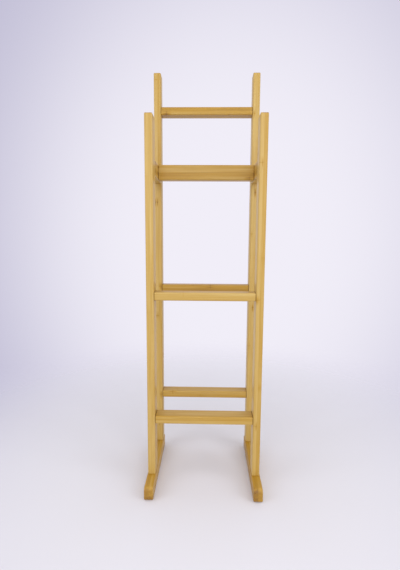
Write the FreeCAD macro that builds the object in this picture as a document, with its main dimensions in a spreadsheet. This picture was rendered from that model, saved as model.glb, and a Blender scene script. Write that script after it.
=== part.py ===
"""Ladder shelf: a narrow free-standing rack of laminated bamboo.

Two side frames, each a sled foot with a short front upright and a tall rear
upright tied by a side rail, are held apart by six cross members.  Screws from
the outer faces and dowels beside them hold the cross members, screws from
below and dowels hold the uprights on the feet, and the side rails are glued on
dowels.  The rack is rigid: nothing in it moves.

Millimetres.  +Z is up, +X is the rack's right and -Y its front, seen from the
front.  The origin is on the floor, under the middle of the feet.
"""
import FreeCAD, Part
import os
import Sketcher
from FreeCAD import Placement, Rotation, Vector

# Driving dimensions, each an alias in the sheet with its value and what it is.
SIZES = [
    # the whole rack
    ("overall_height", 903.5, "floor to the top of the rear uprights"),
    ("front_height", 774.0, "floor to the top of the front uprights"),
    ("frame_width", 240.0, "over the outer faces of the uprights"),
    ("foot_length", 212.0, "front to back"),
    ("toe_length", 46.0, "foot ahead of the front upright"),
    # stock
    ("foot_thick", 19.0, "width of a foot across the rack"),
    ("foot_height", 26.5, "height of a foot"),
    ("upright_thick", 16.0, "width of an upright across the rack"),
    ("front_depth", 36.0, "front upright, front to back"),
    ("rear_depth", 30.0, "rear upright, front to back"),
    ("rail_height", 32.0, "height of a side rail"),
    ("bar_height", 17.0, "height of a cross bar"),
    ("front_bar_depth", 33.0, "front cross bar, front to back"),
    ("rear_bar_depth", 29.0, "rear cross bar, front to back"),
    ("board_height", 32.0, "height of the upper board"),
    ("board_thick", 24.0, "upper board, front to back"),
    # levels and places
    ("lower_level", 142.0, "floor to the underside of the lower bars"),
    ("mid_level", 407.5, "floor to the underside of the middle bars"),
    ("rail_drop", 81.0, "top of a front upright down to the top of its rail"),
    ("top_bar_drop", 72.5, "top of a rear upright down to the top of the top bar"),
    ("board_offset", 9.0, "upper board behind the middle of the side rails"),
    # edges
    ("upright_round", 2.5, "radius along an upright or side rail"),
    ("bar_round", 3.0, "radius along a cross bar"),
    ("board_round", 3.0, "radius along the upper board"),
    ("foot_round", 2.0, "radius round both sides of a foot"),
    ("end_round", 1.5, "radius round the free top ends"),
    ("end_ease", 0.6, "radius round every end that butts on another piece"),
    ("toe_radius", 10.0, "upper corner of the toe"),
    ("foot_corner_radius", 3.0, "lower corners of a foot"),
    # screws into the ends of the cross members
    ("bar_screw_length", 50.0, "under the head"),
    ("bar_screw_diameter", 6.0, "shank and thread"),
    ("bar_screw_head", 10.0, "head diameter"),
    ("bar_screw_head_height", 3.0, "head height"),
    ("bar_screw_offset", 5.0, "screw from the middle of the stick"),
    # screws up through the feet
    ("foot_screw_length", 54.0, "under the head"),
    ("foot_screw_diameter", 7.0, "shank and thread"),
    ("foot_screw_head", 11.0, "head diameter"),
    ("foot_screw_head_height", 4.0, "head height"),
    ("foot_screw_recess", 9.0, "underside of the foot up to the underside of the head"),
    ("foot_screw_offset", 6.0, "screw ahead of the middle of the upright"),
    # all screws
    ("socket_width", 4.0, "across the flats of the hex socket"),
    ("socket_depth", 2.2, "depth of the hex socket"),
    ("screw_point", 3.0, "length of the tapered end"),
    ("head_sink", 0.5, "head below the outer face of the wood"),
    ("head_clearance", 0.25, "round the head, in its counterbore"),
    ("shank_clearance", 0.25, "round the shank, in its clearance hole"),
    ("hole_spare", 1.0, "hole beyond the end of a screw or dowel"),
    # dowels
    ("bar_dowel_diameter", 6.0, "beside the bar screws"),
    ("bar_dowel_length", 24.0, "beside the bar screws"),
    ("bar_dowel_seat", 9.0, "length of it held in the upright or rail"),
    ("bar_dowel_offset", 8.0, "dowel from the middle of the stick"),
    ("foot_dowel_diameter", 8.0, "between foot and upright"),
    ("foot_dowel_length", 36.0, "between foot and upright"),
    ("foot_dowel_seat", 15.0, "length of it held in the foot"),
    ("foot_dowel_offset", 8.0, "dowel behind the middle of the upright"),
    ("rail_dowel_diameter", 6.0, "between side rail and upright"),
    ("rail_dowel_length", 30.0, "between side rail and upright"),
    ("rail_dowel_seat", 12.0, "length of it held in the upright"),
    ("rail_dowel_offset", 8.0, "dowels above and below the middle of the rail"),
    ("dowel_chamfer", 0.6, "both ends of every dowel"),
    # floor pads
    ("pad_diameter", 12.0, "stick-on floor pad"),
    ("pad_thick", 1.5, "stick-on floor pad"),
    ("pad_inset", 34.0, "end of the foot to the middle of a pad"),
]


def sheet_text(text):
    """Turn each $size in an expression into a reference to the sheet."""
    return text.replace("$", "sizes.")


# Places that several pieces share, as expressions over the sheet.
FOOT_TOP = "($pad_thick + $foot_height)"
FRONT_Y = "($toe_length - $foot_length / 2 + $front_depth / 2)"
REAR_Y = "($foot_length / 2 - $rear_depth / 2)"
RAIL_LENGTH = "($foot_length - $toe_length - $front_depth - $rear_depth)"
RAIL_Y = "($toe_length / 2 + $front_depth / 2 - $rear_depth / 2)"
RAIL_MIDDLE = "($front_height - $rail_drop - $rail_height / 2)"
BOARD_Y = "(" + RAIL_Y + " + $board_offset)"
SIDE_X = "($frame_width / 2 - $upright_thick / 2)"
INNER_X = "($frame_width / 2 - $upright_thick)"
BAR_LENGTH = "($frame_width - 2 * $upright_thick)"
LOWER_MIDDLE = "($lower_level + $bar_height / 2)"
MID_MIDDLE = "($mid_level + $bar_height / 2)"
TOP_MIDDLE = "($overall_height - $top_bar_drop - $bar_height / 2)"
BAR_HEAD_SEAT = "($bar_screw_head_height + $head_sink)"
BAR_SCREW_REACH = "($bar_screw_length + " + BAR_HEAD_SEAT + " - $upright_thick + $hole_spare)"
BAR_DOWEL_REACH = "($bar_dowel_length - $bar_dowel_seat + $hole_spare)"
SIDES = {"left": -1, "right": 1}


def make_sheet(doc):
    """Write the driving dimensions into the spreadsheet."""
    sheet = doc.addObject("Spreadsheet::Sheet", "sizes")
    for row, (alias, value, note) in enumerate(SIZES, start=1):
        sheet.set("A%d" % row, alias.replace("_", " "))
        sheet.set("B%d" % row, str(value))
        sheet.setAlias("B%d" % row, alias)
        sheet.set("C%d" % row, note)
    doc.recompute()
    return sheet


def bind(thing, prop, text):
    """Bind one property to an expression over the sheet."""
    thing.setExpression(prop, sheet_text(text))


def place(thing, x, y, z, rotation=Rotation()):
    """Put an object at a place given by three expressions."""
    thing.Placement = Placement(Vector(), rotation)
    bind(thing, "Placement.Base.x", x)
    bind(thing, "Placement.Base.y", y)
    bind(thing, "Placement.Base.z", z)


def new_body(doc, label):
    body = doc.addObject("PartDesign::Body", label)
    body.Label = label
    return body


def new_sketch(body, name, plane, across="0", up="0", along="0"):
    """A sketch on one of the body's origin planes, shifted by expressions."""
    sketch = body.newObject("Sketcher::SketchObject", name)
    planes = {feature.Role: feature for feature in body.Origin.OriginFeatures}
    sketch.AttachmentSupport = [(planes[plane], "")]
    sketch.MapMode = "FlatFace"
    bind(sketch, "AttachmentOffset.Base.x", across)
    bind(sketch, "AttachmentOffset.Base.y", up)
    bind(sketch, "AttachmentOffset.Base.z", along)
    return sketch


def join_tangent(sketch, count):
    """Close a loop of lines and arcs, geometry 0 to count - 1, smoothly."""
    for index in range(count):
        following = (index + 1) % count
        sketch.addConstraint(Sketcher.Constraint("Tangent", index, 2, following, 1))


def bound_constraint(sketch, name, text, *reference):
    """Add a named dimension and bind it to an expression."""
    number = sketch.addConstraint(Sketcher.Constraint(*reference))
    sketch.renameConstraint(number, name)
    bind(sketch, "Constraints." + name, text)


def rounded_rectangle(sketch, wide, tall, radius):
    """A rectangle with rounded corners, centred on the sketch's origin.

    The start values only show the solver which way round the outline goes.
    """
    half_w, half_t, corner = 8.0, 12.0, 1.5
    inner_w, inner_t = half_w - corner, half_t - corner
    quarter = 1.5707963
    corners = [(inner_w, -inner_t), (inner_w, inner_t), (-inner_w, inner_t), (-inner_w, -inner_t)]
    lines = [
        (Vector(-inner_w, -half_t, 0), Vector(inner_w, -half_t, 0)),
        (Vector(half_w, -inner_t, 0), Vector(half_w, inner_t, 0)),
        (Vector(inner_w, half_t, 0), Vector(-inner_w, half_t, 0)),
        (Vector(-half_w, inner_t, 0), Vector(-half_w, -inner_t, 0)),
    ]
    for index, (line, centre) in enumerate(zip(lines, corners)):
        sketch.addGeometry(Part.LineSegment(*line))
        circle = Part.Circle(Vector(centre[0], centre[1], 0), Vector(0, 0, 1), corner)
        start = (index - 1) * quarter
        sketch.addGeometry(Part.ArcOfCircle(circle, start, start + quarter))
    join_tangent(sketch, 8)
    for index in (0, 4):
        sketch.addConstraint(Sketcher.Constraint("Horizontal", index))
        sketch.addConstraint(Sketcher.Constraint("Vertical", index + 2))
    for index in (3, 5, 7):
        sketch.addConstraint(Sketcher.Constraint("Equal", 1, index))
    sketch.addConstraint(Sketcher.Constraint("Symmetric", 1, 3, 5, 3, -1, 1))
    bound_constraint(sketch, "corner", radius, "Radius", 1, corner)
    bound_constraint(sketch, "wide", wide, "DistanceX", 6, 1, 2, 1, 2 * half_w)
    bound_constraint(sketch, "tall", tall, "DistanceY", 0, 1, 4, 1, 2 * half_t)


def pad_sketch(body, sketch, length, midplane):
    """Turn a closed sketch into a stick of the given length."""
    pad = body.newObject("PartDesign::Pad", "Stick")
    pad.Profile = sketch
    pad.Midplane = midplane
    bind(pad, "Length", length)
    sketch.Visibility = False
    return pad


def bore(body, name, plane, centre, diameter, depth, forward=False):
    """Bore a round hole from a start point, along the plane's normal.

    centre is three expressions in the sketch's own axes: across, up and along
    the normal.  The hole runs against the normal, or with it when forward.
    """
    sketch = new_sketch(body, name + "_centre", plane, *centre)
    sketch.addGeometry(Part.Circle(Vector(0, 0, 0), Vector(0, 0, 1), 3.0))
    sketch.addConstraint(Sketcher.Constraint("Coincident", 0, 3, -1, 1))
    bound_constraint(sketch, "bore", diameter, "Diameter", 0, 6.0)
    pocket = body.newObject("PartDesign::Pocket", name)
    pocket.Profile = sketch
    pocket.Reversed = forward
    bind(pocket, "Length", depth)
    sketch.Visibility = False
    return pocket


def bore_bar_joint(body, name, side, screw_at, dowel_at):
    """The holes in a side stick for one end of a cross member.

    A counterbored clearance hole for the screw goes right through from the
    outer face, and a blind hole for the dowel starts at the inner face.
    """
    outer = "%d * $upright_thick / 2" % side
    inner = "%d * $upright_thick / 2" % -side
    inward = side < 0
    bore(body, name + "_counterbore", "YZ_Plane", screw_at + (outer,),
         "$bar_screw_head + 2 * $head_clearance", BAR_HEAD_SEAT, inward)
    bore(body, name + "_clearance", "YZ_Plane", screw_at + (outer,),
         "$bar_screw_diameter + 2 * $shank_clearance", "$upright_thick", inward)
    bore(body, name + "_dowel_hole", "YZ_Plane", dowel_at + (inner,),
         "$bar_dowel_diameter", "$bar_dowel_seat", not inward)


def round_rims(body, name, axis, stations, radius):
    """Round the rims that lie across an axis, at stations given by expressions."""
    body.Document.recompute()
    sheet = body.Document.getObject("sizes")
    places = [float(sheet.evalExpression(sheet_text(station))) for station in stations]
    solid = body.Tip
    rims = [
        "Edge%d" % (index + 1)
        for index, edge in enumerate(solid.Shape.Edges)
        if any(all(abs(getattr(vertex, axis) - where) < 1e-4 for vertex in edge.Vertexes)
               for where in places)
    ]
    fillet = body.newObject("PartDesign::Fillet", name)
    fillet.Base = (solid, rims)
    bind(fillet, "Radius", radius)


def make_upright(doc, label, side, depth, length, centre_y, bar_middles):
    """An upright: a rounded stick, bored for its bars, rail and foot.

    Its own origin is the middle of its lower end.
    """
    body = new_body(doc, label)
    section = new_sketch(body, "Section", "XY_Plane")
    rounded_rectangle(section, "$upright_thick", depth, "$upright_round")
    pad_sketch(body, section, length, False)
    round_rims(body, "Rounded_top", "Z", [length], "$end_round")
    round_rims(body, "Eased_bottom", "Z", ["0"], "$end_ease")
    for number, middle in enumerate(bar_middles, start=1):
        level = middle + " - " + FOOT_TOP
        bore_bar_joint(body, "Bar_%d" % number, side,
                       ("-$bar_screw_offset", level), ("$bar_dowel_offset", level))
    bore(body, "Foot_screw_hole", "XY_Plane", ("0", "-$foot_screw_offset", "0"),
         "$foot_screw_diameter",
         "$foot_screw_length + $foot_screw_recess - $foot_height + $hole_spare", True)
    bore(body, "Foot_dowel_hole", "XY_Plane", ("0", "$foot_dowel_offset", "0"),
         "$foot_dowel_diameter",
         "$foot_dowel_length - $foot_dowel_seat + $hole_spare", True)
    # The rail meets the back of a front upright and the front of a rear one.
    faces_back = centre_y == FRONT_Y
    towards = "1" if faces_back else "-1"
    for name, sign in (("Upper", "+"), ("Lower", "-")):
        level = RAIL_MIDDLE + " - " + FOOT_TOP + sign + " $rail_dowel_offset"
        start = "-" + towards + " * " + depth + " / 2"
        bore(body, name + "_rail_dowel_hole", "XZ_Plane", ("0", level, start),
             "$rail_dowel_diameter", "$rail_dowel_seat", faces_back)
    place(body, "%d * %s" % (side, SIDE_X), centre_y, FOOT_TOP)
    return body


def foot_outline(sketch):
    """Side view of a foot: flat under, toe rounded above, square at the back.

    The sketch's own origin is on the underside, midway along the foot.
    """
    half, height, toe, corner = 106.0, 26.5, 10.0, 3.0
    quarter = 1.5707963
    normal = Vector(0, 0, 1)
    sketch.addGeometry(Part.LineSegment(Vector(-half + corner, 0, 0), Vector(half - corner, 0, 0)))
    heel = Part.Circle(Vector(half - corner, corner, 0), normal, corner)
    sketch.addGeometry(Part.ArcOfCircle(heel, -quarter, 0))
    sketch.addGeometry(Part.LineSegment(Vector(half, corner, 0), Vector(half, height, 0)))
    sketch.addGeometry(Part.LineSegment(Vector(half, height, 0), Vector(-half + toe, height, 0)))
    upper = Part.Circle(Vector(-half + toe, height - toe, 0), normal, toe)
    sketch.addGeometry(Part.ArcOfCircle(upper, quarter, 2 * quarter))
    sketch.addGeometry(Part.LineSegment(Vector(-half, height - toe, 0), Vector(-half, corner, 0)))
    lower = Part.Circle(Vector(-half + corner, corner, 0), normal, corner)
    sketch.addGeometry(Part.ArcOfCircle(lower, 2 * quarter, 3 * quarter))
    sketch.addConstraint(Sketcher.Constraint("Coincident", 2, 2, 3, 1))
    for first, second in ((0, 1), (1, 2), (3, 4), (4, 5), (5, 6), (6, 0)):
        sketch.addConstraint(Sketcher.Constraint("Tangent", first, 2, second, 1))
    for index in (0, 3):
        sketch.addConstraint(Sketcher.Constraint("Horizontal", index))
    for index in (2, 5):
        sketch.addConstraint(Sketcher.Constraint("Vertical", index))
    sketch.addConstraint(Sketcher.Constraint("PointOnObject", 0, 1, -1))
    sketch.addConstraint(Sketcher.Constraint("Equal", 1, 6))
    bound_constraint(sketch, "toe", "$toe_radius", "Radius", 4, toe)
    bound_constraint(sketch, "corner", "$foot_corner_radius", "Radius", 1, corner)
    bound_constraint(sketch, "back", "$foot_length / 2", "DistanceX", -1, 1, 2, 2, half)
    bound_constraint(sketch, "long", "$foot_length", "DistanceX", 5, 1, 2, 2, 2 * half)
    bound_constraint(sketch, "high", "$foot_height", "DistanceY", -1, 1, 2, 2, height)


def make_foot(doc, label, side):
    """A sled foot, bored from below and above for both uprights."""
    body = new_body(doc, label)
    outline = new_sketch(body, "Outline", "YZ_Plane")
    foot_outline(outline)
    pad_sketch(body, outline, "$foot_thick", True)
    sides = ["$foot_thick / 2", "-$foot_thick / 2"]
    round_rims(body, "Rounded_sides", "X", sides, "$foot_round")
    for name, centre_y in (("Front", FRONT_Y), ("Rear", REAR_Y)):
        screw_y = centre_y + " - $foot_screw_offset"
        bore(body, name + "_counterbore", "XY_Plane", ("0", screw_y, "0"),
             "$foot_screw_head + 2 * $head_clearance", "$foot_screw_recess", True)
        bore(body, name + "_clearance", "XY_Plane", ("0", screw_y, "0"),
             "$foot_screw_diameter + 2 * $shank_clearance", "$foot_height", True)
        bore(body, name + "_dowel_hole", "XY_Plane",
             ("0", centre_y + " + $foot_dowel_offset", "$foot_height"),
             "$foot_dowel_diameter", "$foot_dowel_seat")
    place(body, "%d * %s" % (side, SIDE_X), "0", "$pad_thick")
    return body


def make_side_rail(doc, label, side):
    """A side rail between two uprights, bored for the upper board."""
    body = new_body(doc, label)
    section = new_sketch(body, "Section", "XZ_Plane")
    rounded_rectangle(section, "$upright_thick", "$rail_height", "$upright_round")
    pad_sketch(body, section, RAIL_LENGTH, True)
    ends = [RAIL_LENGTH + " / 2", "-" + RAIL_LENGTH + " / 2"]
    round_rims(body, "Eased_ends", "Y", ends, "$end_ease")
    bore_bar_joint(body, "Board", side,
                   ("$board_offset", "-$bar_screw_offset"),
                   ("$board_offset", "$bar_dowel_offset"))
    for end, name in ((1, "Front"), (-1, "Rear")):
        start = "%d * %s / 2" % (end, RAIL_LENGTH)
        for level in ("Upper", "Lower"):
            height = "$rail_dowel_offset" if level == "Upper" else "-$rail_dowel_offset"
            bore(body, name + "_" + level + "_dowel_hole", "XZ_Plane", ("0", height, start),
                 "$rail_dowel_diameter",
                 "$rail_dowel_length - $rail_dowel_seat + $hole_spare", end < 0)
    place(body, "%d * %s" % (side, SIDE_X), RAIL_Y, RAIL_MIDDLE)
    return body


def make_cross_member(doc, label, section_sizes, screw_at, dowel_at, centre_y, middle):
    """A cross member: a rounded stick, bored at both ends for screw and dowel."""
    body = new_body(doc, label)
    section = new_sketch(body, "Section", "YZ_Plane")
    rounded_rectangle(section, *section_sizes)
    pad_sketch(body, section, BAR_LENGTH, True)
    ends = [BAR_LENGTH + " / 2", "-" + BAR_LENGTH + " / 2"]
    round_rims(body, "Eased_ends", "X", ends, "$end_ease")
    for side_name, side in SIDES.items():
        end = "%d * %s / 2" % (side, BAR_LENGTH)
        bore(body, side_name + "_screw_hole", "YZ_Plane", screw_at + (end,),
             "$bar_screw_diameter", BAR_SCREW_REACH, side < 0)
        bore(body, side_name + "_dowel_hole", "YZ_Plane", dowel_at + (end,),
             "$bar_dowel_diameter", BAR_DOWEL_REACH, side < 0)
    place(body, "0", centre_y, middle)
    return body


def make_cross_members(doc):
    """The five flat bars and the upper board; returns them with their joints."""
    front = (("$front_bar_depth", "$bar_height", "$bar_round"),
             ("-$bar_screw_offset", "0"), ("$bar_dowel_offset", "0"))
    rear = (("$rear_bar_depth", "$bar_height", "$bar_round"),
            ("-$bar_screw_offset", "0"), ("$bar_dowel_offset", "0"))
    board = (("$board_thick", "$board_height", "$board_round"),
             ("0", "-$bar_screw_offset"), ("0", "$bar_dowel_offset"))
    rows = [
        ("lower_front_bar", front, FRONT_Y, LOWER_MIDDLE),
        ("lower_rear_bar", rear, REAR_Y, LOWER_MIDDLE),
        ("mid_front_bar", front, FRONT_Y, MID_MIDDLE),
        ("mid_rear_bar", rear, REAR_Y, MID_MIDDLE),
        ("upper_board", board, BOARD_Y, RAIL_MIDDLE),
        ("top_bar", rear, REAR_Y, TOP_MIDDLE),
    ]
    members = [make_cross_member(doc, label, *kind, centre_y, middle)
               for label, kind, centre_y, middle in rows]
    screws = [(centre_y + " + " + kind[1][0], middle + " + " + kind[1][1])
              for _label, kind, centre_y, middle in rows]
    dowels = [(centre_y + " + " + kind[2][0], middle + " + " + kind[2][1])
              for _label, kind, centre_y, middle in rows]
    return members, screws, dowels


def screw_master(doc, name, stem):
    """One screw, head up, with the underside of its head at its own origin."""
    body = new_body(doc, name)
    shank = body.newObject("PartDesign::AdditiveCylinder", "Shank")
    bind(shank, "Radius", "$" + stem + "_diameter / 2")
    bind(shank, "Height", "$" + stem + "_length - $screw_point")
    bind(shank, "Placement.Base.z", "$screw_point - $" + stem + "_length")
    point = body.newObject("PartDesign::AdditiveCone", "Point")
    bind(point, "Radius1", "$" + stem + "_diameter / 4")
    bind(point, "Radius2", "$" + stem + "_diameter / 2")
    bind(point, "Height", "$screw_point")
    bind(point, "Placement.Base.z", "-$" + stem + "_length")
    head = body.newObject("PartDesign::AdditiveCylinder", "Head")
    bind(head, "Radius", "$" + stem + "_head / 2")
    bind(head, "Height", "$" + stem + "_head_height")
    socket = body.newObject("PartDesign::SubtractivePrism", "Socket")
    socket.Polygon = 6
    bind(socket, "Circumradius", "$socket_width / 2 / cos(30)")
    bind(socket, "Height", "$socket_depth")
    bind(socket, "Placement.Base.z", "$" + stem + "_head_height - $socket_depth")
    return body


def dowel_master(doc, name, stem):
    """One dowel with chamfered ends, standing on its own origin."""
    body = new_body(doc, name)
    pin = body.newObject("PartDesign::AdditiveCylinder", "Pin")
    bind(pin, "Radius", "$" + stem + "_diameter / 2")
    bind(pin, "Height", "$" + stem + "_length")
    doc.recompute()
    rims = [
        "Edge%d" % (index + 1)
        for index, edge in enumerate(pin.Shape.Edges)
        if isinstance(edge.Curve, Part.Circle)
    ]
    chamfer = body.newObject("PartDesign::Chamfer", "Chamfered_ends")
    chamfer.Base = (pin, rims)
    bind(chamfer, "Size", "$dowel_chamfer")
    return body


def make_group(doc, label, master, places):
    """Copies of one master at each place, as one node of separate solids."""
    copies = []
    for number, (x, y, z, rotation) in enumerate(places, start=1):
        copy = doc.addObject("App::Link", "%s_%d" % (label, number))
        copy.LinkedObject = master
        copy.LinkTransform = False
        place(copy, x, y, z, rotation)
        copies.append(copy)
    group = doc.addObject("Part::Compound", label)
    group.Label = label
    group.Links = copies
    return group


def axis_turn(x, y, z):
    """The rotation that lays a piece's own +Z along the given axis."""
    return Rotation(Vector(0, 0, 1), Vector(x, y, z))


def make_fasteners(doc, bar_screws, bar_dowels):
    """Screws and dowels of every joint, in one node for each kind."""
    seat_x = "($frame_width / 2 - " + BAR_HEAD_SEAT + ")"
    dowel_x = "(" + INNER_X + " + $bar_dowel_seat)"
    outward = [(side, axis_turn(side, 0, 0)) for side in SIDES.values()]
    inward = [(side, axis_turn(-side, 0, 0)) for side in SIDES.values()]
    screw_places = [("%d * %s" % (side, seat_x), y, z, turn)
                    for side, turn in outward for y, z in bar_screws]
    dowel_places = [("%d * %s" % (side, dowel_x), y, z, turn)
                    for side, turn in inward for y, z in bar_dowels]
    up, down = axis_turn(0, 0, 1), Rotation(Vector(1, 0, 0), 180)
    foot_screw_places = []
    foot_dowel_places = []
    rail_dowel_places = []
    for side in SIDES.values():
        x = "%d * %s" % (side, SIDE_X)
        for centre_y in (FRONT_Y, REAR_Y):
            foot_screw_places.append(
                (x, centre_y + " - $foot_screw_offset", "$pad_thick + $foot_screw_recess", down))
            foot_dowel_places.append(
                (x, centre_y + " + $foot_dowel_offset", FOOT_TOP + " - $foot_dowel_seat", up))
        for end, turn in ((-1, axis_turn(0, 1, 0)), (1, axis_turn(0, -1, 0))):
            y = "%s + %d * (%s / 2 + $rail_dowel_seat)" % (RAIL_Y, end, RAIL_LENGTH)
            for sign in ("+", "-"):
                rail_dowel_places.append((x, y, RAIL_MIDDLE + sign + " $rail_dowel_offset", turn))
    return [
        make_group(doc, "bar_screws", screw_master(doc, "one_bar_screw", "bar_screw"), screw_places),
        make_group(doc, "bar_dowels", dowel_master(doc, "one_bar_dowel", "bar_dowel"), dowel_places),
        make_group(doc, "foot_screws", screw_master(doc, "one_foot_screw", "foot_screw"),
                   foot_screw_places),
        make_group(doc, "foot_dowels", dowel_master(doc, "one_foot_dowel", "foot_dowel"),
                   foot_dowel_places),
        make_group(doc, "rail_dowels", dowel_master(doc, "one_rail_dowel", "rail_dowel"),
                   rail_dowel_places),
    ]


def make_floor_pads(doc):
    """Four round pads stuck under the ends of the feet."""
    pads = []
    for side in SIDES.values():
        for end in (-1, 1):
            pad = doc.addObject("Part::Cylinder", "floor_pad_%d" % (len(pads) + 1))
            bind(pad, "Radius", "$pad_diameter / 2")
            bind(pad, "Height", "$pad_thick")
            place(pad, "%d * %s" % (side, SIDE_X), "%d * ($foot_length / 2 - $pad_inset)" % end, "0")
            pads.append(pad)
    group = doc.addObject("Part::Compound", "floor_pads")
    group.Label = "floor_pads"
    group.Links = pads
    return group


def make_side_frames(doc):
    """Both side frames: foot, two uprights and the rail between them."""
    pieces = []
    front_length = "$front_height - " + FOOT_TOP
    rear_length = "$overall_height - " + FOOT_TOP
    for name, side in SIDES.items():
        pieces.append(make_foot(doc, "foot_" + name, side))
        pieces.append(make_upright(doc, "front_upright_" + name, side, "$front_depth",
                                   front_length, FRONT_Y, [LOWER_MIDDLE, MID_MIDDLE]))
        pieces.append(make_upright(doc, "rear_upright_" + name, side, "$rear_depth",
                                   rear_length, REAR_Y, [LOWER_MIDDLE, MID_MIDDLE, TOP_MIDDLE]))
        pieces.append(make_side_rail(doc, "side_rail_" + name, side))
    return pieces


def check(doc, pieces):
    """Stop on a failed feature, an idle pocket or a bad shape."""
    for thing in doc.Objects:
        if "Invalid" in thing.State or "Error" in thing.State:
            raise RuntimeError("%s failed: %s" % (thing.Label, thing.State))
        if thing.TypeId == "PartDesign::Pocket":
            removed = thing.BaseFeature.Shape.Volume - thing.Shape.Volume
            if removed < 1.0:
                raise RuntimeError("%s removed only %.3f mm3" % (thing.Label, removed))
    for piece in pieces:
        if piece.Shape.isNull() or not piece.Shape.isValid():
            raise RuntimeError("bad shape: " + piece.Label)


def export(pieces):
    """Write each sub-part to a STEP file named after it."""
    os.makedirs("parts", exist_ok=True)
    for piece in pieces:
        piece.Shape.exportStep(os.path.join("parts", piece.Label + ".step"))
        box = piece.Shape.BoundBox
        print("%-20s solids %2d  volume %9.0f  z %7.1f to %7.1f"
              % (piece.Label, len(piece.Shape.Solids), piece.Shape.Volume, box.ZMin, box.ZMax))


document = FreeCAD.newDocument("ladder_shelf")
make_sheet(document)
sub_parts = make_side_frames(document)
cross_members, screw_spots, dowel_spots = make_cross_members(document)
sub_parts += cross_members
sub_parts += make_fasteners(document, screw_spots, dowel_spots)
sub_parts.append(make_floor_pads(document))
document.recompute()
check(document, sub_parts)
export(sub_parts)
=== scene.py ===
"""Ladder shelf: a narrow free-standing rack of laminated bamboo, in its finishes.

Metres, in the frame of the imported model: +Z up, -Y the rack's front and +X to
the right as seen from the front.  The sections follow the rack as it is put
together.
"""
import math

import bpy
from mathutils import Euler, Matrix, Vector


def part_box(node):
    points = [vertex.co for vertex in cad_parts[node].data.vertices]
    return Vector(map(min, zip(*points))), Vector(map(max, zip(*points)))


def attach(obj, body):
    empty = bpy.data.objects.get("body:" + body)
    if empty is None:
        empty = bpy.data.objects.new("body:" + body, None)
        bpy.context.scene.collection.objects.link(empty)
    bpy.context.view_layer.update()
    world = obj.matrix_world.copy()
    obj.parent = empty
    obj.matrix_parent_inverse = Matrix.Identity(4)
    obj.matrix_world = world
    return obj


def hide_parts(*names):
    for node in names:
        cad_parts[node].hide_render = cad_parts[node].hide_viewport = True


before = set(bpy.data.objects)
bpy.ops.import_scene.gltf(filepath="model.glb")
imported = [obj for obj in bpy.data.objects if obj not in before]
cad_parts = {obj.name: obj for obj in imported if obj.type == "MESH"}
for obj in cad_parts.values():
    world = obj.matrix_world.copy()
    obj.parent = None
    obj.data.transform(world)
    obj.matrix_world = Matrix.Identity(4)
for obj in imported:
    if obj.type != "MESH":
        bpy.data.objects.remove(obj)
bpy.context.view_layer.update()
scene = bpy.context.scene


# ---- Camera ---------------------------------------------------------------
# A short lens at about half the rack's height, a little right of its middle,
# tipped slightly down.

CAMERA_PLACE = (0.0053, -0.7963, 0.5295)
CAMERA_LENS = 23.17
CAMERA_TURN = 0.0208
CAMERA_TIP = 0.1199
CAMERA_ROLL = 0.0059

camera_data = bpy.data.cameras.new("camera")
camera_data.sensor_width = 36.0
camera_data.lens = CAMERA_LENS
camera_data.clip_start = 0.02
camera = bpy.data.objects.new("camera", camera_data)
camera.location = CAMERA_PLACE
aim = Euler((math.pi / 2 - CAMERA_TIP, 0.0, CAMERA_TURN)).to_matrix()
camera.rotation_euler = (aim @ Euler((0.0, 0.0, CAMERA_ROLL)).to_matrix()).to_euler()
scene.collection.objects.link(camera)
scene.camera = camera
scene.view_settings.view_transform = "Standard"


# ---- Feet -----------------------------------------------------------------
# Two sled feet, sawn from a laminated bamboo board and rounded all round: two
# strips wide and three high, with the grain running front to back.

# A strip has a node, a narrow dark band with streaks fading out from it, about
# every 27 cm.  The band wanders by a share of that spacing.
NODE_SPACING = 0.27
NODE_BAND = 0.0016
NODE_STREAK = 0.014
NODE_WANDER = 0.012

GLUE_LINE = 0.0004

# The strips were glued up a little oversize and then planed, so that no glue
# line falls on a face.
PLANED_OFF = 0.002

# Real fibre bundles are 0.3 to 0.5 mm across.  Here the fibres are drawn at
# 1 mm so that they show, the broad streaks at 4 mm, and the dots of the end
# grain at about 1 mm.  The stretches draw the first two out along the grain.
FIBRES_PER_METRE = 1000.0
STREAKS_PER_METRE = 260.0
END_DOTS_PER_METRE = 900.0
FIBRE_STRETCH = 0.012
STREAK_STRETCH = 0.03

# How far each of them moves the tone, on the scale of BAMBOO_TONES.
STRIP_CONTRAST = 0.16
STREAK_CONTRAST = 0.24
FIBRE_CONTRAST = 0.20
NODE_DARKER = 0.36
GLUE_DARKER = 0.06
END_GRAIN_DARKER = 0.20

# A real joint gap is a few tenths of a millimetre wide.  The dark line there, partly dust and
# partly painted shade of the gap, is drawn wider, so that it shows.
JOINT_DUST_AND_SHADE_WIDTH = 0.0016

# Tone to colour: node marks at the dark end, straw between the fibres at the pale end.
BAMBOO_TONES = [
    (0.00, "5E3E0E"),
    (0.22, "8E6314"),
    (0.45, "B58A28"),
    (0.70, "CEB06A"),
    (1.00, "E4CB9C"),
]

# Turns that lay a stick's grain along the pattern's own Z.
GRAIN_TURN = {
    "X": Euler((0.0, -math.pi / 2, 0.0)),
    "Y": Euler((math.pi / 2, 0.0, 0.0)),
    "Z": Euler((0.0, 0.0, 0.0)),
}


def to_linear(code):
    """An sRGB hex colour as linear red, green, blue and alpha."""
    parts = [int(code[i:i + 2], 16) / 255 for i in (0, 2, 4)]
    return [p / 12.92 if p <= 0.04045 else ((p + 0.055) / 1.055) ** 2.4 for p in parts] + [1.0]


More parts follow.
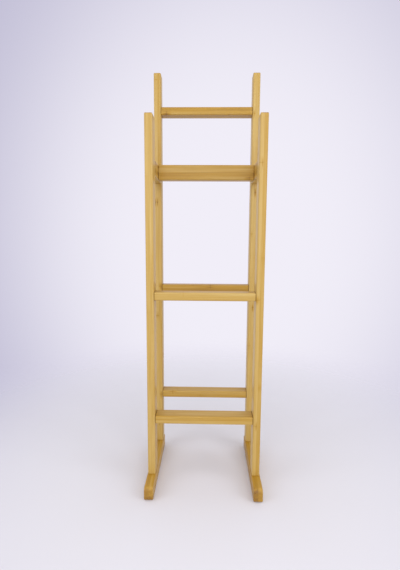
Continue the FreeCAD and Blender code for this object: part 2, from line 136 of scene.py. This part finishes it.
def add_node(tree, kind, settings, inputs):
    """Add a node, with its settings and, for each input, a value or a link."""
    node = tree.nodes.new(kind)
    for name, value in settings.items():
        setattr(node, name, value)
    for name, value in inputs.items():
        if isinstance(value, bpy.types.NodeSocket):
            tree.links.new(value, node.inputs[name])
        else:
            node.inputs[name].default_value = value
    return node


def lacquered_bamboo(node_name, grain, strips, tone, seed, joint_dust_and_shade):
    """Laminated bamboo, planed and sanded, under satin lacquer, for one stick.

    strips is how many strips the stick is glued up from, in its two directions
    across the grain.  tone makes the whole stick paler or darker, as sticks
    differ in a batch.  The last argument darkens the rim at each end: partly
    for lacquer and dust that fill the joint, partly as painted shade of the gap
    between the parts.  To the eye the strips are long narrow bands of
    slightly different honey, with fine fibres along each one and short brown
    marks across it at its nodes.  The lacquer is a thin clear gloss over it all.
    """
    low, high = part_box(node_name)
    turn = GRAIN_TURN[grain].to_matrix()
    centre = turn @ ((low + high) / 2)
    size = turn @ (high - low)
    strip_size = [(abs(size[side]) + PLANED_OFF) / strips[side] for side in (0, 1)]
    material = bpy.data.materials.new("lacquered_bamboo_" + node_name)
    material.use_nodes = True
    tree = material.node_tree
    tree.nodes.clear()
    place = add_node(tree, "ShaderNodeTexCoord", {}, {})
    laid = add_node(tree, "ShaderNodeMapping", {}, {
        "Vector": place.outputs["Object"], "Location": -centre, "Rotation": GRAIN_TURN[grain]})

    # One cell for each strip, with three random numbers of its own.
    grid = add_node(tree, "ShaderNodeVectorMath", {"operation": "MULTIPLY_ADD"}, {
        0: laid.outputs["Vector"],
        1: (1 / strip_size[0], 1 / strip_size[1], 1 / NODE_SPACING),
        2: (strips[0] / 2 + 10 * seed, strips[1] / 2 + 10 * seed, 0.37 * seed)})
    across = add_node(tree, "ShaderNodeVectorMath", {"operation": "MULTIPLY"}, {
        0: grid.outputs["Vector"], 1: (1.0, 1.0, 0.0)})
    cell = add_node(tree, "ShaderNodeVectorMath", {"operation": "FLOOR"}, {
        0: across.outputs["Vector"]})
    chance = add_node(tree, "ShaderNodeTexWhiteNoise", {"noise_dimensions": "3D"}, {
        "Vector": cell.outputs["Vector"]})
    strip_chance = add_node(tree, "ShaderNodeSeparateColor", {}, {"Color": chance.outputs["Color"]})
    at = add_node(tree, "ShaderNodeSeparateXYZ", {}, {"Vector": grid.outputs["Vector"]})

    # Fibres, shifted from strip to strip so that none crosses a glue line.
    shifted = add_node(tree, "ShaderNodeVectorMath", {"operation": "MULTIPLY_ADD"}, {
        0: chance.outputs["Color"], 1: (0.9, 0.7, 0.8), 2: laid.outputs["Vector"]})
    fine_space = add_node(tree, "ShaderNodeVectorMath", {"operation": "MULTIPLY"}, {
        0: shifted.outputs["Vector"], 1: (1.0, 1.0, FIBRE_STRETCH)})
    fine = add_node(tree, "ShaderNodeTexNoise", {}, {
        "Vector": fine_space.outputs["Vector"], "Scale": FIBRES_PER_METRE, "Detail": 2.0,
        "Roughness": 0.6})
    broad_space = add_node(tree, "ShaderNodeVectorMath", {"operation": "MULTIPLY"}, {
        0: shifted.outputs["Vector"], 1: (1.0, 1.0, STREAK_STRETCH)})
    broad = add_node(tree, "ShaderNodeTexNoise", {}, {
        "Vector": broad_space.outputs["Vector"], "Scale": STREAKS_PER_METRE, "Detail": 1.0,
        "Roughness": 0.5})

    # Node marks: each strip has its own start, and each mark its own strength.
    node_at = add_node(tree, "ShaderNodeMath", {"operation": "ADD"}, {
        0: at.outputs["Z"], 1: strip_chance.outputs["Green"]})
    ragged = add_node(tree, "ShaderNodeMath", {"operation": "MULTIPLY_ADD"}, {
        0: broad.outputs["Fac"], 1: NODE_WANDER, 2: node_at.outputs["Value"]})
    off_node = add_node(tree, "ShaderNodeMath", {"operation": "PINGPONG"}, {
        0: ragged.outputs["Value"], 1: 0.5})
    band = add_node(tree, "ShaderNodeMapRange", {"interpolation_type": "SMOOTHSTEP"}, {
        "Value": off_node.outputs["Value"],
        "From Min": 0.2 * NODE_BAND / NODE_SPACING,
        "From Max": NODE_BAND / NODE_SPACING,
        "To Min": 0.35, "To Max": 0.0})
    halo = add_node(tree, "ShaderNodeMapRange", {"interpolation_type": "SMOOTHSTEP"}, {
        "Value": off_node.outputs["Value"],
        "From Min": 0.0, "From Max": NODE_STREAK / NODE_SPACING,
        "To Min": 1.0, "To Max": 0.0})
    streak = add_node(tree, "ShaderNodeMapRange", {"interpolation_type": "SMOOTHSTEP"}, {
        "Value": broad.outputs["Fac"], "From Min": 0.48, "From Max": 0.62,
        "To Min": 0.0, "To Max": 0.9})
    mark = add_node(tree, "ShaderNodeMath", {"operation": "MULTIPLY_ADD"}, {
        0: halo.outputs["Result"], 1: streak.outputs["Result"], 2: band.outputs["Result"]})
    mark_strength = add_node(tree, "ShaderNodeMath", {"operation": "MULTIPLY"}, {
        0: mark.outputs["Value"], 1: strip_chance.outputs["Blue"]})

    # Glue lines between the strips.
    line_x = add_node(tree, "ShaderNodeMath", {"operation": "PINGPONG"}, {
        0: at.outputs["X"], 1: 0.5})
    line_y = add_node(tree, "ShaderNodeMath", {"operation": "PINGPONG"}, {
        0: at.outputs["Y"], 1: 0.5})
    nearest = add_node(tree, "ShaderNodeMath", {"operation": "MINIMUM"}, {
        0: line_x.outputs["Value"], 1: line_y.outputs["Value"]})
    glue = add_node(tree, "ShaderNodeMapRange", {"interpolation_type": "SMOOTHSTEP"}, {
        "Value": nearest.outputs["Value"], "From Min": 0.0,
        "From Max": GLUE_LINE / min(strip_size), "To Min": 1.0, "To Max": 0.0})

    # End grain, where a face lies across the grain: darker, with the ends of the fibres as dots.
    across_face = add_node(tree, "ShaderNodeVectorMath", {"operation": "DOT_PRODUCT"}, {
        0: place.outputs["Normal"], 1: turn.transposed() @ Vector((0.0, 0.0, 1.0))})
    facing = add_node(tree, "ShaderNodeMath", {"operation": "ABSOLUTE"}, {
        0: across_face.outputs["Value"]})
    end_face = add_node(tree, "ShaderNodeMapRange", {"interpolation_type": "SMOOTHSTEP"}, {
        "Value": facing.outputs["Value"], "From Min": 0.55, "From Max": 0.95,
        "To Min": 0.0, "To Max": 1.0})
    dots = add_node(tree, "ShaderNodeTexVoronoi", {"feature": "F1"}, {
        "Vector": fine_space.outputs["Vector"], "Scale": END_DOTS_PER_METRE})
    end_shade = add_node(tree, "ShaderNodeMath", {"operation": "MULTIPLY_ADD"}, {
        0: dots.outputs["Distance"], 1: -END_GRAIN_DARKER, 2: 0.0})
    end_tone = add_node(tree, "ShaderNodeMath", {"operation": "MULTIPLY"}, {
        0: end_face.outputs["Result"], 1: end_shade.outputs["Value"]})

    # The rims at both ends, where the joint lines are: darkened for dust in the joint and as
    # painted shade of the gap.
    along = add_node(tree, "ShaderNodeSeparateXYZ", {}, {"Vector": laid.outputs["Vector"]})
    from_middle = add_node(tree, "ShaderNodeMath", {"operation": "ABSOLUTE"}, {
        0: along.outputs["Z"]})
    joint_dust_and_shade_rim = add_node(tree, "ShaderNodeMapRange", {"interpolation_type": "SMOOTHSTEP"}, {
        "Value": from_middle.outputs["Value"], "From Min": abs(size[2]) / 2 - JOINT_DUST_AND_SHADE_WIDTH,
        "From Max": abs(size[2]) / 2 - 0.4 * JOINT_DUST_AND_SHADE_WIDTH, "To Min": 0.0, "To Max": -joint_dust_and_shade})

    # All of it added up into one tone, then coloured.
    darkest = tone - (STRIP_CONTRAST + STREAK_CONTRAST + FIBRE_CONTRAST) / 2
    tone_strip = add_node(tree, "ShaderNodeMath", {"operation": "MULTIPLY_ADD"}, {
        0: strip_chance.outputs["Red"], 1: STRIP_CONTRAST, 2: darkest})
    tone_broad = add_node(tree, "ShaderNodeMath", {"operation": "MULTIPLY_ADD"}, {
        0: broad.outputs["Fac"], 1: STREAK_CONTRAST, 2: tone_strip.outputs["Value"]})
    tone_fine = add_node(tree, "ShaderNodeMath", {"operation": "MULTIPLY_ADD"}, {
        0: fine.outputs["Fac"], 1: FIBRE_CONTRAST, 2: tone_broad.outputs["Value"]})
    tone_mark = add_node(tree, "ShaderNodeMath", {"operation": "MULTIPLY_ADD"}, {
        0: mark_strength.outputs["Value"], 1: -NODE_DARKER, 2: tone_fine.outputs["Value"]})
    tone_glue = add_node(tree, "ShaderNodeMath", {"operation": "MULTIPLY_ADD"}, {
        0: glue.outputs["Result"], 1: -GLUE_DARKER, 2: tone_mark.outputs["Value"]})
    # The painted shade of the joint gaps, with the dust in them, goes into the tone here.
    tone_joint_dust_and_shade = add_node(tree, "ShaderNodeMath", {"operation": "ADD"}, {
        0: tone_glue.outputs["Value"], 1: joint_dust_and_shade_rim.outputs["Result"]})
    tone_all = add_node(tree, "ShaderNodeMath", {"operation": "ADD", "use_clamp": True}, {
        0: tone_joint_dust_and_shade.outputs["Value"], 1: end_tone.outputs["Value"]})
    colour = add_node(tree, "ShaderNodeValToRGB", {}, {"Fac": tone_all.outputs["Value"]})
    ramp = colour.color_ramp.elements
    while len(ramp) < len(BAMBOO_TONES):
        ramp.new(0.5)
    for stop, (position, code) in zip(ramp, BAMBOO_TONES):
        stop.position = position
        stop.color = to_linear(code)

    # The lacquer sinks in unevenly: some fibres shine a little less than others.
    roughness = add_node(tree, "ShaderNodeMapRange", {}, {
        "Value": fine.outputs["Fac"], "From Min": 0.3, "From Max": 0.7,
        "To Min": 0.44, "To Max": 0.58})
    ripple = add_node(tree, "ShaderNodeMath", {"operation": "MULTIPLY_ADD"}, {
        0: glue.outputs["Result"], 1: -0.6, 2: fine.outputs["Fac"]})
    bump = add_node(tree, "ShaderNodeBump", {}, {
        "Height": ripple.outputs["Value"], "Strength": 0.25, "Distance": 0.0003})
    shader = add_node(tree, "ShaderNodeBsdfPrincipled", {}, {
        "Base Color": colour.outputs["Color"], "Roughness": roughness.outputs["Result"],
        "Normal": bump.outputs["Normal"], "IOR": 1.5,
        "Coat Weight": 0.15, "Coat Roughness": 0.08, "Coat IOR": 1.5})
    add_node(tree, "ShaderNodeOutputMaterial", {}, {"Surface": shader.outputs["BSDF"]})
    return material


def dress(node_name, material):
    """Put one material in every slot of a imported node."""
    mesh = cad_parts[node_name].data
    mesh.materials.clear()
    mesh.materials.append(material)
    for face in mesh.polygons:
        face.material_index = 0


for seed, (node_name, tone) in enumerate((
        ("foot_left", 0.46), ("foot_right", 0.42)), start=11):
    dress(node_name, lacquered_bamboo(node_name, "Y", (2, 3), tone, seed, joint_dust_and_shade=0.0))


# ---- Front uprights -------------------------------------------------------
# Two shorter sticks, two strips wide and five deep, with the grain upright.
# A screw and a dowel from the foot hold each one.

# How dark the uprights' end rims are made: dust in the joints and painted shade of the gaps.
UPRIGHT_JOINT_DUST_AND_SHADE = 0.22

for seed, (node_name, tone) in enumerate((
        ("front_upright_left", 0.54), ("front_upright_right", 0.58)), start=21):
    dress(node_name, lacquered_bamboo(node_name, "Z", (2, 5), tone, seed, UPRIGHT_JOINT_DUST_AND_SHADE))


# ---- Rear uprights --------------------------------------------------------
# Two tall sticks, a little shallower than the front ones and fixed to the
# feet in the same way.

for seed, (node_name, tone) in enumerate((
        ("rear_upright_left", 0.56), ("rear_upright_right", 0.61)), start=31):
    dress(node_name, lacquered_bamboo(node_name, "Z", (2, 4), tone, seed, UPRIGHT_JOINT_DUST_AND_SHADE))


# ---- Side rails -----------------------------------------------------------
# A short rail in each side frame, glued on dowels between its two uprights: two
# strips wide and four high, with the grain running front to back.

# Their end rims are darkened for dust in the joints and as painted shade of the gaps.
for seed, node_name in enumerate(("side_rail_left", "side_rail_right"), start=41):
    dress(node_name, lacquered_bamboo(node_name, "Y", (2, 4), tone=0.45, seed=seed,
                                      joint_dust_and_shade=0.35))


# ---- Cross bars -----------------------------------------------------------
# Five flat bars with rounded edges, two strips high and four deep, with the
# grain running across the rack.  A screw and a dowel in each end hold them.

# The last number of each is how dark its end rims are made: dust in the joint and painted shade of
# the gap.
for seed, (node_name, tone, joint_dust_and_shade) in enumerate((
        ("lower_front_bar", 0.53, 0.55), ("lower_rear_bar", 0.52, 0.3),
        ("mid_front_bar", 0.56, 0.5), ("mid_rear_bar", 0.43, 0.3),
        ("top_bar", 0.46, 0.2)), start=51):
    dress(node_name, lacquered_bamboo(node_name, "X", (2, 4), tone, seed, joint_dust_and_shade))


# ---- Upper board ----------------------------------------------------------
# One taller stick between the side rails, four strips high and three deep, of
# darker bamboo.  A screw and a dowel in each end hold it to the rails.

# Its end rims are darkened for dust in the joints and as painted shade of the gaps.
dress("upper_board", lacquered_bamboo("upper_board", "X", (4, 3), tone=0.46, seed=61,
                                      joint_dust_and_shade=0.35))


# ---- Dowels ---------------------------------------------------------------
# Straight beech dowels, glued in beside each screw and at both ends of the
# side rails.  They are out of sight once the rack is together.

BEECH_FIBRE = 0.0004
BEECH_FLECK = 0.0012
BEECH_STRETCH = 0.15


def planed_beech(name, grain):
    """Bare steamed beech: pinkish tan, with short darker flecks along the grain and no gloss."""
    material = bpy.data.materials.new(name)
    material.use_nodes = True
    tree = material.node_tree
    tree.nodes.clear()
    place = add_node(tree, "ShaderNodeTexCoord", {}, {})
    laid = add_node(tree, "ShaderNodeMapping", {}, {
        "Vector": place.outputs["Object"], "Rotation": GRAIN_TURN[grain]})
    drawn_out = add_node(tree, "ShaderNodeVectorMath", {"operation": "MULTIPLY"}, {
        0: laid.outputs["Vector"], 1: (1.0, 1.0, BEECH_STRETCH)})
    fibres = add_node(tree, "ShaderNodeTexNoise", {}, {
        "Vector": drawn_out.outputs["Vector"], "Scale": 1 / BEECH_FIBRE, "Detail": 2.0})
    flecks = add_node(tree, "ShaderNodeTexVoronoi", {"feature": "F1"}, {
        "Vector": drawn_out.outputs["Vector"], "Scale": 1 / BEECH_FLECK})
    fleck = add_node(tree, "ShaderNodeMapRange", {"interpolation_type": "SMOOTHSTEP"}, {
        "Value": flecks.outputs["Distance"], "From Min": 0.1, "From Max": 0.25,
        "To Min": 0.35, "To Max": 0.0})
    tone = add_node(tree, "ShaderNodeMath", {"operation": "SUBTRACT", "use_clamp": True}, {
        0: fibres.outputs["Fac"], 1: fleck.outputs["Result"]})
    colour = add_node(tree, "ShaderNodeMix", {"data_type": "RGBA"}, {
        0: tone.outputs["Value"], 6: to_linear("A97C52"), 7: to_linear("E2BE94")})
    roughness = add_node(tree, "ShaderNodeMapRange", {}, {
        "Value": fibres.outputs["Fac"], "To Min": 0.6, "To Max": 0.75})
    bump = add_node(tree, "ShaderNodeBump", {}, {
        "Height": tone.outputs["Value"], "Strength": 0.4, "Distance": 0.0002})
    shader = add_node(tree, "ShaderNodeBsdfPrincipled", {}, {
        "Base Color": colour.outputs[2], "Roughness": roughness.outputs["Result"],
        "Normal": bump.outputs["Normal"], "IOR": 1.5})
    add_node(tree, "ShaderNodeOutputMaterial", {}, {"Surface": shader.outputs["BSDF"]})
    return material


for node_name, grain in (("bar_dowels", "X"), ("foot_dowels", "Z"), ("rail_dowels", "Y")):
    dress(node_name, planed_beech("planed_beech_" + node_name, grain))


# ---- Bar screws -----------------------------------------------------------
# Twelve zinc-plated furniture screws with a hexagon socket, one at each end
# of every cross member, driven in from the outer face of the side frames.

BAR_SCREW_LENGTH = 0.053
BAR_SCREW_HEAD_HEIGHT = 0.003
BAR_SCREW_HEAD_RADIUS = 0.005
BAR_SCREW_RADIUS = 0.003
BAR_SCREW_THREAD = 0.034

# The screws are this far ahead of the middle of a bar, and below the middle of
# the board.  The dowels are on the other side of the middle.
BAR_SCREW_OFFSET = 0.005

# The point is cut off flat, at a share of the screw's radius.
SCREW_POINT = 0.003
POINT_FLAT = 0.3

# The thread is drawn as rings.  Driven home, none of it shows.
THREAD_PITCH = 0.002
THREAD_DEPTH = 0.0005

HEAD_CHAMFER = 0.0005
SOCKET_ACROSS = 0.004
SOCKET_DEPTH = 0.0022
SCREW_SIDES = 36


def turned(name, rings, sides):
    """A round piece raised along Z, ring by ring, from a disc at its first ring."""
    bpy.ops.object.select_all(action="DESELECT")
    bpy.ops.mesh.primitive_circle_add(vertices=sides, radius=rings[0][0], fill_type="NGON",
                                      location=(0.0, 0.0, rings[0][1]))
    piece = bpy.context.object
    piece.name = name
    bpy.ops.object.mode_set(mode="EDIT")
    bpy.ops.mesh.select_all(action="SELECT")
    for (radius, height), (next_radius, next_height) in zip(rings, rings[1:]):
        bpy.ops.mesh.extrude_region_move(
            TRANSFORM_OT_translate={"value": (0.0, 0.0, next_height - height)})
        bpy.ops.transform.resize(value=(next_radius / radius, next_radius / radius, 1.0),
                                 center_override=(0.0, 0.0, next_height))
    bpy.ops.mesh.select_all(action="SELECT")
    bpy.ops.mesh.normals_make_consistent(inside=False)
    bpy.ops.object.mode_set(mode="OBJECT")
    bpy.ops.object.transform_apply(location=True, rotation=True, scale=True)
    bpy.ops.object.shade_smooth_by_angle(angle=math.radians(35))
    return piece


def socket_screw(name, length, radius, thread, head_radius, head_height):
    """A screw standing on its point: a thread, drawn as rings, a plain shank and a socket head."""
    rings = [(POINT_FLAT * radius, 0.0)]
    for turn in range(int(thread / THREAD_PITCH)):
        height = SCREW_POINT + turn * THREAD_PITCH
        rings.append((radius - THREAD_DEPTH, height))
        rings.append((radius, height + THREAD_PITCH / 2))
    under_head = length - head_height
    rings.append((radius - THREAD_DEPTH, SCREW_POINT + thread))
    rings.append((radius, SCREW_POINT + thread + THREAD_PITCH / 2))
    rings.append((radius, under_head))
    rings.append((head_radius, under_head))
    rings.append((head_radius, length - HEAD_CHAMFER))
    rings.append((head_radius - HEAD_CHAMFER, length))
    piece = turned(name, rings, SCREW_SIDES)

    bpy.ops.object.select_all(action="DESELECT")
    bpy.ops.mesh.primitive_cylinder_add(vertices=6, radius=SOCKET_ACROSS / math.sqrt(3),
                                        depth=2 * SOCKET_DEPTH, location=(0.0, 0.0, length))
    cutter = bpy.context.object
    bpy.ops.object.select_all(action="DESELECT")
    piece.select_set(True)
    bpy.context.view_layer.objects.active = piece
    socket = piece.modifiers.new("socket", "BOOLEAN")
    socket.operation = "DIFFERENCE"
    socket.object = cutter
    bpy.ops.object.modifier_apply(modifier="socket")
    bpy.data.objects.remove(cutter)
    return piece


def copy_to(pattern, name, turn, place):
    """A copy of a piece, turned and moved in its own mesh."""
    piece = bpy.data.objects.new(name, pattern.data.copy())
    piece.data.transform(Matrix.Translation(place) @ turn.to_matrix().to_4x4())
    scene.collection.objects.link(piece)
    return piece


# Zinc-plated steel: turned, then plated in a barrel.  To the eye it is a cool
# bright grey with faint straw patches, and it shines softly and unevenly.
# Real grit is under 0.1 mm, so it is drawn three times as coarse.
ZINC_PATCHES_PER_METRE = 300.0
ZINC_GRIT_PER_METRE = 3000.0

zinc_plate = bpy.data.materials.new("zinc_plated_steel")
zinc_plate.use_nodes = True
tree = zinc_plate.node_tree
tree.nodes.clear()
place = add_node(tree, "ShaderNodeTexCoord", {}, {})
patches = add_node(tree, "ShaderNodeTexNoise", {}, {
    "Vector": place.outputs["Object"], "Scale": ZINC_PATCHES_PER_METRE, "Detail": 3.0,
    "Roughness": 0.6})
plating = add_node(tree, "ShaderNodeMix", {"data_type": "RGBA"}, {
    0: patches.outputs["Fac"], 6: to_linear("A9B1B9"), 7: to_linear("D5D1BF")})
dullness = add_node(tree, "ShaderNodeMapRange", {}, {
    "Value": patches.outputs["Fac"], "From Min": 0.3, "From Max": 0.7,
    "To Min": 0.24, "To Max": 0.42})
grit = add_node(tree, "ShaderNodeTexNoise", {}, {
    "Vector": place.outputs["Object"], "Scale": ZINC_GRIT_PER_METRE, "Detail": 2.0})
bump = add_node(tree, "ShaderNodeBump", {}, {
    "Height": grit.outputs["Fac"], "Strength": 0.15, "Distance": 0.0001})
shader = add_node(tree, "ShaderNodeBsdfPrincipled", {}, {
    "Base Color": plating.outputs[2], "Roughness": dullness.outputs["Result"],
    "Normal": bump.outputs["Normal"], "Metallic": 1.0})
add_node(tree, "ShaderNodeOutputMaterial", {}, {"Surface": shader.outputs["BSDF"]})

bar_screw = socket_screw("bar_screw", BAR_SCREW_LENGTH, BAR_SCREW_RADIUS, BAR_SCREW_THREAD,
                         BAR_SCREW_HEAD_RADIUS, BAR_SCREW_HEAD_HEIGHT)
bar_screw.data.materials.append(zinc_plate)
heads_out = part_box("bar_screws")[1].x
for node_name in ("lower_front_bar", "lower_rear_bar", "mid_front_bar", "mid_rear_bar",
                  "upper_board", "top_bar"):
    low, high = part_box(node_name)
    middle = (low + high) / 2
    if node_name == "upper_board":
        middle.z -= BAR_SCREW_OFFSET
    else:
        middle.y -= BAR_SCREW_OFFSET
    for side_name, side in (("left", -1), ("right", 1)):
        piece = copy_to(bar_screw, "screw_" + node_name + "_" + side_name,
                        Euler((0.0, side * math.pi / 2, 0.0)),
                        (side * (heads_out - BAR_SCREW_LENGTH), middle.y, middle.z))
        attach(piece, "root")
        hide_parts("bar_screws")
bpy.data.objects.remove(bar_screw)


# ---- Foot screws ----------------------------------------------------------
# Four heavier screws of the same kind, driven up from recesses in the
# undersides of the feet into the ends of the uprights.

FOOT_SCREW_LENGTH = 0.058
FOOT_SCREW_RADIUS = 0.0035
FOOT_SCREW_THREAD = 0.036
FOOT_SCREW_HEAD_RADIUS = 0.0055
FOOT_SCREW_HEAD_HEIGHT = 0.004
FOOT_SCREW_AHEAD = 0.006

foot_screw = socket_screw("foot_screw", FOOT_SCREW_LENGTH, FOOT_SCREW_RADIUS, FOOT_SCREW_THREAD,
                          FOOT_SCREW_HEAD_RADIUS, FOOT_SCREW_HEAD_HEIGHT)
foot_screw.data.materials.append(zinc_plate)
heads_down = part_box("foot_screws")[0].z
for node_name in ("front_upright_left", "front_upright_right", "rear_upright_left",
                  "rear_upright_right"):
    low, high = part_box(node_name)
    middle = (low + high) / 2
    piece = copy_to(foot_screw, "screw_" + node_name, Euler((math.pi, 0.0, 0.0)),
                    (middle.x, middle.y - FOOT_SCREW_AHEAD, heads_down + FOOT_SCREW_LENGTH))
    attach(piece, "root")
    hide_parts("foot_screws")
bpy.data.objects.remove(foot_screw)


# ---- Floor pads -----------------------------------------------------------
# Four small stick-on pads of foam rubber under the ends of the feet, punched
# from sheet, with the lower rim pressed round.

PAD_RADIUS = 0.006
PAD_THICK = 0.0015
PAD_SIDES = 48

# The lower rim is rounded in by the first and up by the second.
PAD_ROUND_IN = 0.0006
PAD_ROUND_UP = 0.0005

# Closed-cell foam rubber: dull near-black with fine pits.  Real cells are
# about 0.2 mm, drawn at 0.5 mm so that they show.
FOAM_CELL = 0.0005

foam_rubber = bpy.data.materials.new("foam_rubber")
foam_rubber.use_nodes = True
tree = foam_rubber.node_tree
tree.nodes.clear()
place = add_node(tree, "ShaderNodeTexCoord", {}, {})
cells = add_node(tree, "ShaderNodeTexVoronoi", {"feature": "F1"}, {
    "Vector": place.outputs["Object"], "Scale": 1 / FOAM_CELL})
foam_colour = add_node(tree, "ShaderNodeMix", {"data_type": "RGBA"}, {
    0: cells.outputs["Distance"], 6: to_linear("1F1F21"), 7: to_linear("3A3A3D")})
foam_roughness = add_node(tree, "ShaderNodeMapRange", {}, {
    "Value": cells.outputs["Distance"], "To Min": 0.95, "To Max": 0.78})
bump = add_node(tree, "ShaderNodeBump", {}, {
    "Height": cells.outputs["Distance"], "Strength": 0.5, "Distance": 0.0002})
shader = add_node(tree, "ShaderNodeBsdfPrincipled", {}, {
    "Base Color": foam_colour.outputs[2], "Roughness": foam_roughness.outputs["Result"],
    "Normal": bump.outputs["Normal"], "IOR": 1.5})
add_node(tree, "ShaderNodeOutputMaterial", {}, {"Surface": shader.outputs["BSDF"]})

floor_pad = turned("floor_pad", [
    (PAD_RADIUS - PAD_ROUND_IN, 0.0), (PAD_RADIUS - PAD_ROUND_IN / 3, 0.3 * PAD_ROUND_UP),
    (PAD_RADIUS, PAD_ROUND_UP), (PAD_RADIUS, PAD_THICK)], PAD_SIDES)
floor_pad.data.materials.append(foam_rubber)
pads_low, pads_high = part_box("floor_pads")
for place_name, across, along in (("front_left", -1, -1), ("front_right", 1, -1),
                                  ("rear_left", -1, 1), ("rear_right", 1, 1)):
    piece = copy_to(floor_pad, "floor_pad_" + place_name, Euler((0.0, 0.0, 0.0)),
                    (across * (pads_high.x - PAD_RADIUS), along * (pads_high.y - PAD_RADIUS),
                     pads_low.z))
    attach(piece, "root")
    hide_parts("floor_pads")
bpy.data.objects.remove(floor_pad)


# ---- Studio ---------------------------------------------------------------
# A pale paper floor that fades out into a pale surround, so that no horizon
# shows, under four large soft lights.

FLOOR_RADIUS = 3.0
FLOOR_FADE_START = 0.25
FLOOR_FADE_END = 1.15

bpy.ops.object.select_all(action="DESELECT")
bpy.ops.mesh.primitive_circle_add(vertices=96, radius=FLOOR_RADIUS, fill_type="NGON")
floor = bpy.context.object
floor.name = "floor"
floor_material = bpy.data.materials.new("pale_floor")
floor_material.use_nodes = True
tree = floor_material.node_tree
tree.nodes.clear()
place = add_node(tree, "ShaderNodeTexCoord", {}, {})
distance = add_node(tree, "ShaderNodeVectorMath", {"operation": "LENGTH"}, {
    0: place.outputs["Object"]})
fade = add_node(tree, "ShaderNodeMapRange", {"interpolation_type": "SMOOTHSTEP"}, {
    "Value": distance.outputs["Value"], "From Min": FLOOR_FADE_START,
    "From Max": FLOOR_FADE_END, "To Min": 0.0, "To Max": 1.0})
paper = add_node(tree, "ShaderNodeBsdfDiffuse", {}, {"Color": to_linear("E3E1E8")})
clear = add_node(tree, "ShaderNodeBsdfTransparent", {}, {})
blend = add_node(tree, "ShaderNodeMixShader", {}, {
    0: fade.outputs["Result"], 1: paper.outputs["BSDF"], 2: clear.outputs["BSDF"]})
add_node(tree, "ShaderNodeOutputMaterial", {}, {"Surface": blend.outputs["Shader"]})
floor.data.materials.append(floor_material)

# The surround is brightest straight behind the rack, duller round that, and
# pale again to the sides and the front.  The three numbers are cosines of the
# angle from the brightest way.
BRIGHTEST_WAY = Vector((0.06, 1.0, 0.0)).normalized()
BRIGHT_UP_TO = 0.99
DULL_AT = 0.75
PALE_FROM = 0.3

world = bpy.data.worlds.new("surround")
scene.world = world
world.use_nodes = True
tree = world.node_tree
tree.nodes.clear()
place = add_node(tree, "ShaderNodeTexCoord", {}, {})
flattened = add_node(tree, "ShaderNodeVectorMath", {"operation": "MULTIPLY"}, {
    0: place.outputs["Generated"], 1: (1.0, 1.0, 0.8)})
direction = add_node(tree, "ShaderNodeVectorMath", {"operation": "NORMALIZE"}, {
    0: flattened.outputs["Vector"]})
away = add_node(tree, "ShaderNodeVectorMath", {"operation": "DOT_PRODUCT"}, {
    0: direction.outputs["Vector"], 1: BRIGHTEST_WAY})
glow = add_node(tree, "ShaderNodeMapRange", {"interpolation_type": "SMOOTHSTEP"}, {
    "Value": away.outputs["Value"], "From Min": DULL_AT, "From Max": BRIGHT_UP_TO,
    "To Min": 0.0, "To Max": 1.0})
backdrop = add_node(tree, "ShaderNodeMix", {"data_type": "RGBA"}, {
    0: glow.outputs["Result"], 6: to_linear("C2BFD6"), 7: to_linear("F1EEF8")})
sideways = add_node(tree, "ShaderNodeMapRange", {"interpolation_type": "SMOOTHSTEP"}, {
    "Value": away.outputs["Value"], "From Min": PALE_FROM, "From Max": DULL_AT,
    "To Min": 1.0, "To Max": 0.0})
surround = add_node(tree, "ShaderNodeMix", {"data_type": "RGBA"}, {
    0: sideways.outputs["Result"], 6: backdrop.outputs[2], 7: to_linear("E3E1ED")})

# What lights the wood is an even fill, whatever the backdrop's shading.
FILL_LIGHT = (0.72, 0.72, 0.74, 1.0)

ray = add_node(tree, "ShaderNodeLightPath", {}, {})
light_colour = add_node(tree, "ShaderNodeMix", {"data_type": "RGBA"}, {
    0: ray.outputs["Is Diffuse Ray"], 6: surround.outputs[2], 7: FILL_LIGHT})
background = add_node(tree, "ShaderNodeBackground", {}, {"Color": light_colour.outputs[2]})
add_node(tree, "ShaderNodeOutputWorld", {}, {"Surface": background.outputs["Background"]})


def soft_box(name, location, target, size, power):
    """A rectangular soft light turned towards a point."""
    data = bpy.data.lights.new(name, "AREA")
    data.shape = "RECTANGLE"
    data.size, data.size_y = size
    data.energy = power
    box = bpy.data.objects.new(name, data)
    box.location = location
    box.rotation_euler = (Vector(target) - Vector(location)).to_track_quat("-Z", "Y").to_euler()
    box.visible_camera = False
    scene.collection.objects.link(box)


FOOT_OF_RACK = (0.0, 0.0, 0.0)
UPPER_RACK = (0.0, 0.0, 0.6)

soft_box("overhead_box", (0.0, -0.5, 2.6), FOOT_OF_RACK, size=(2.6, 2.6), power=8.0)
soft_box("front_box", (0.1, -1.15, 0.8), UPPER_RACK, size=(1.0, 0.7), power=3.5)
soft_box("left_box", (-1.5, -1.0, 1.0), UPPER_RACK, size=(1.0, 1.2), power=7.0)
soft_box("right_box", (1.5, -1.0, 1.0), UPPER_RACK, size=(1.0, 1.2), power=9.0)
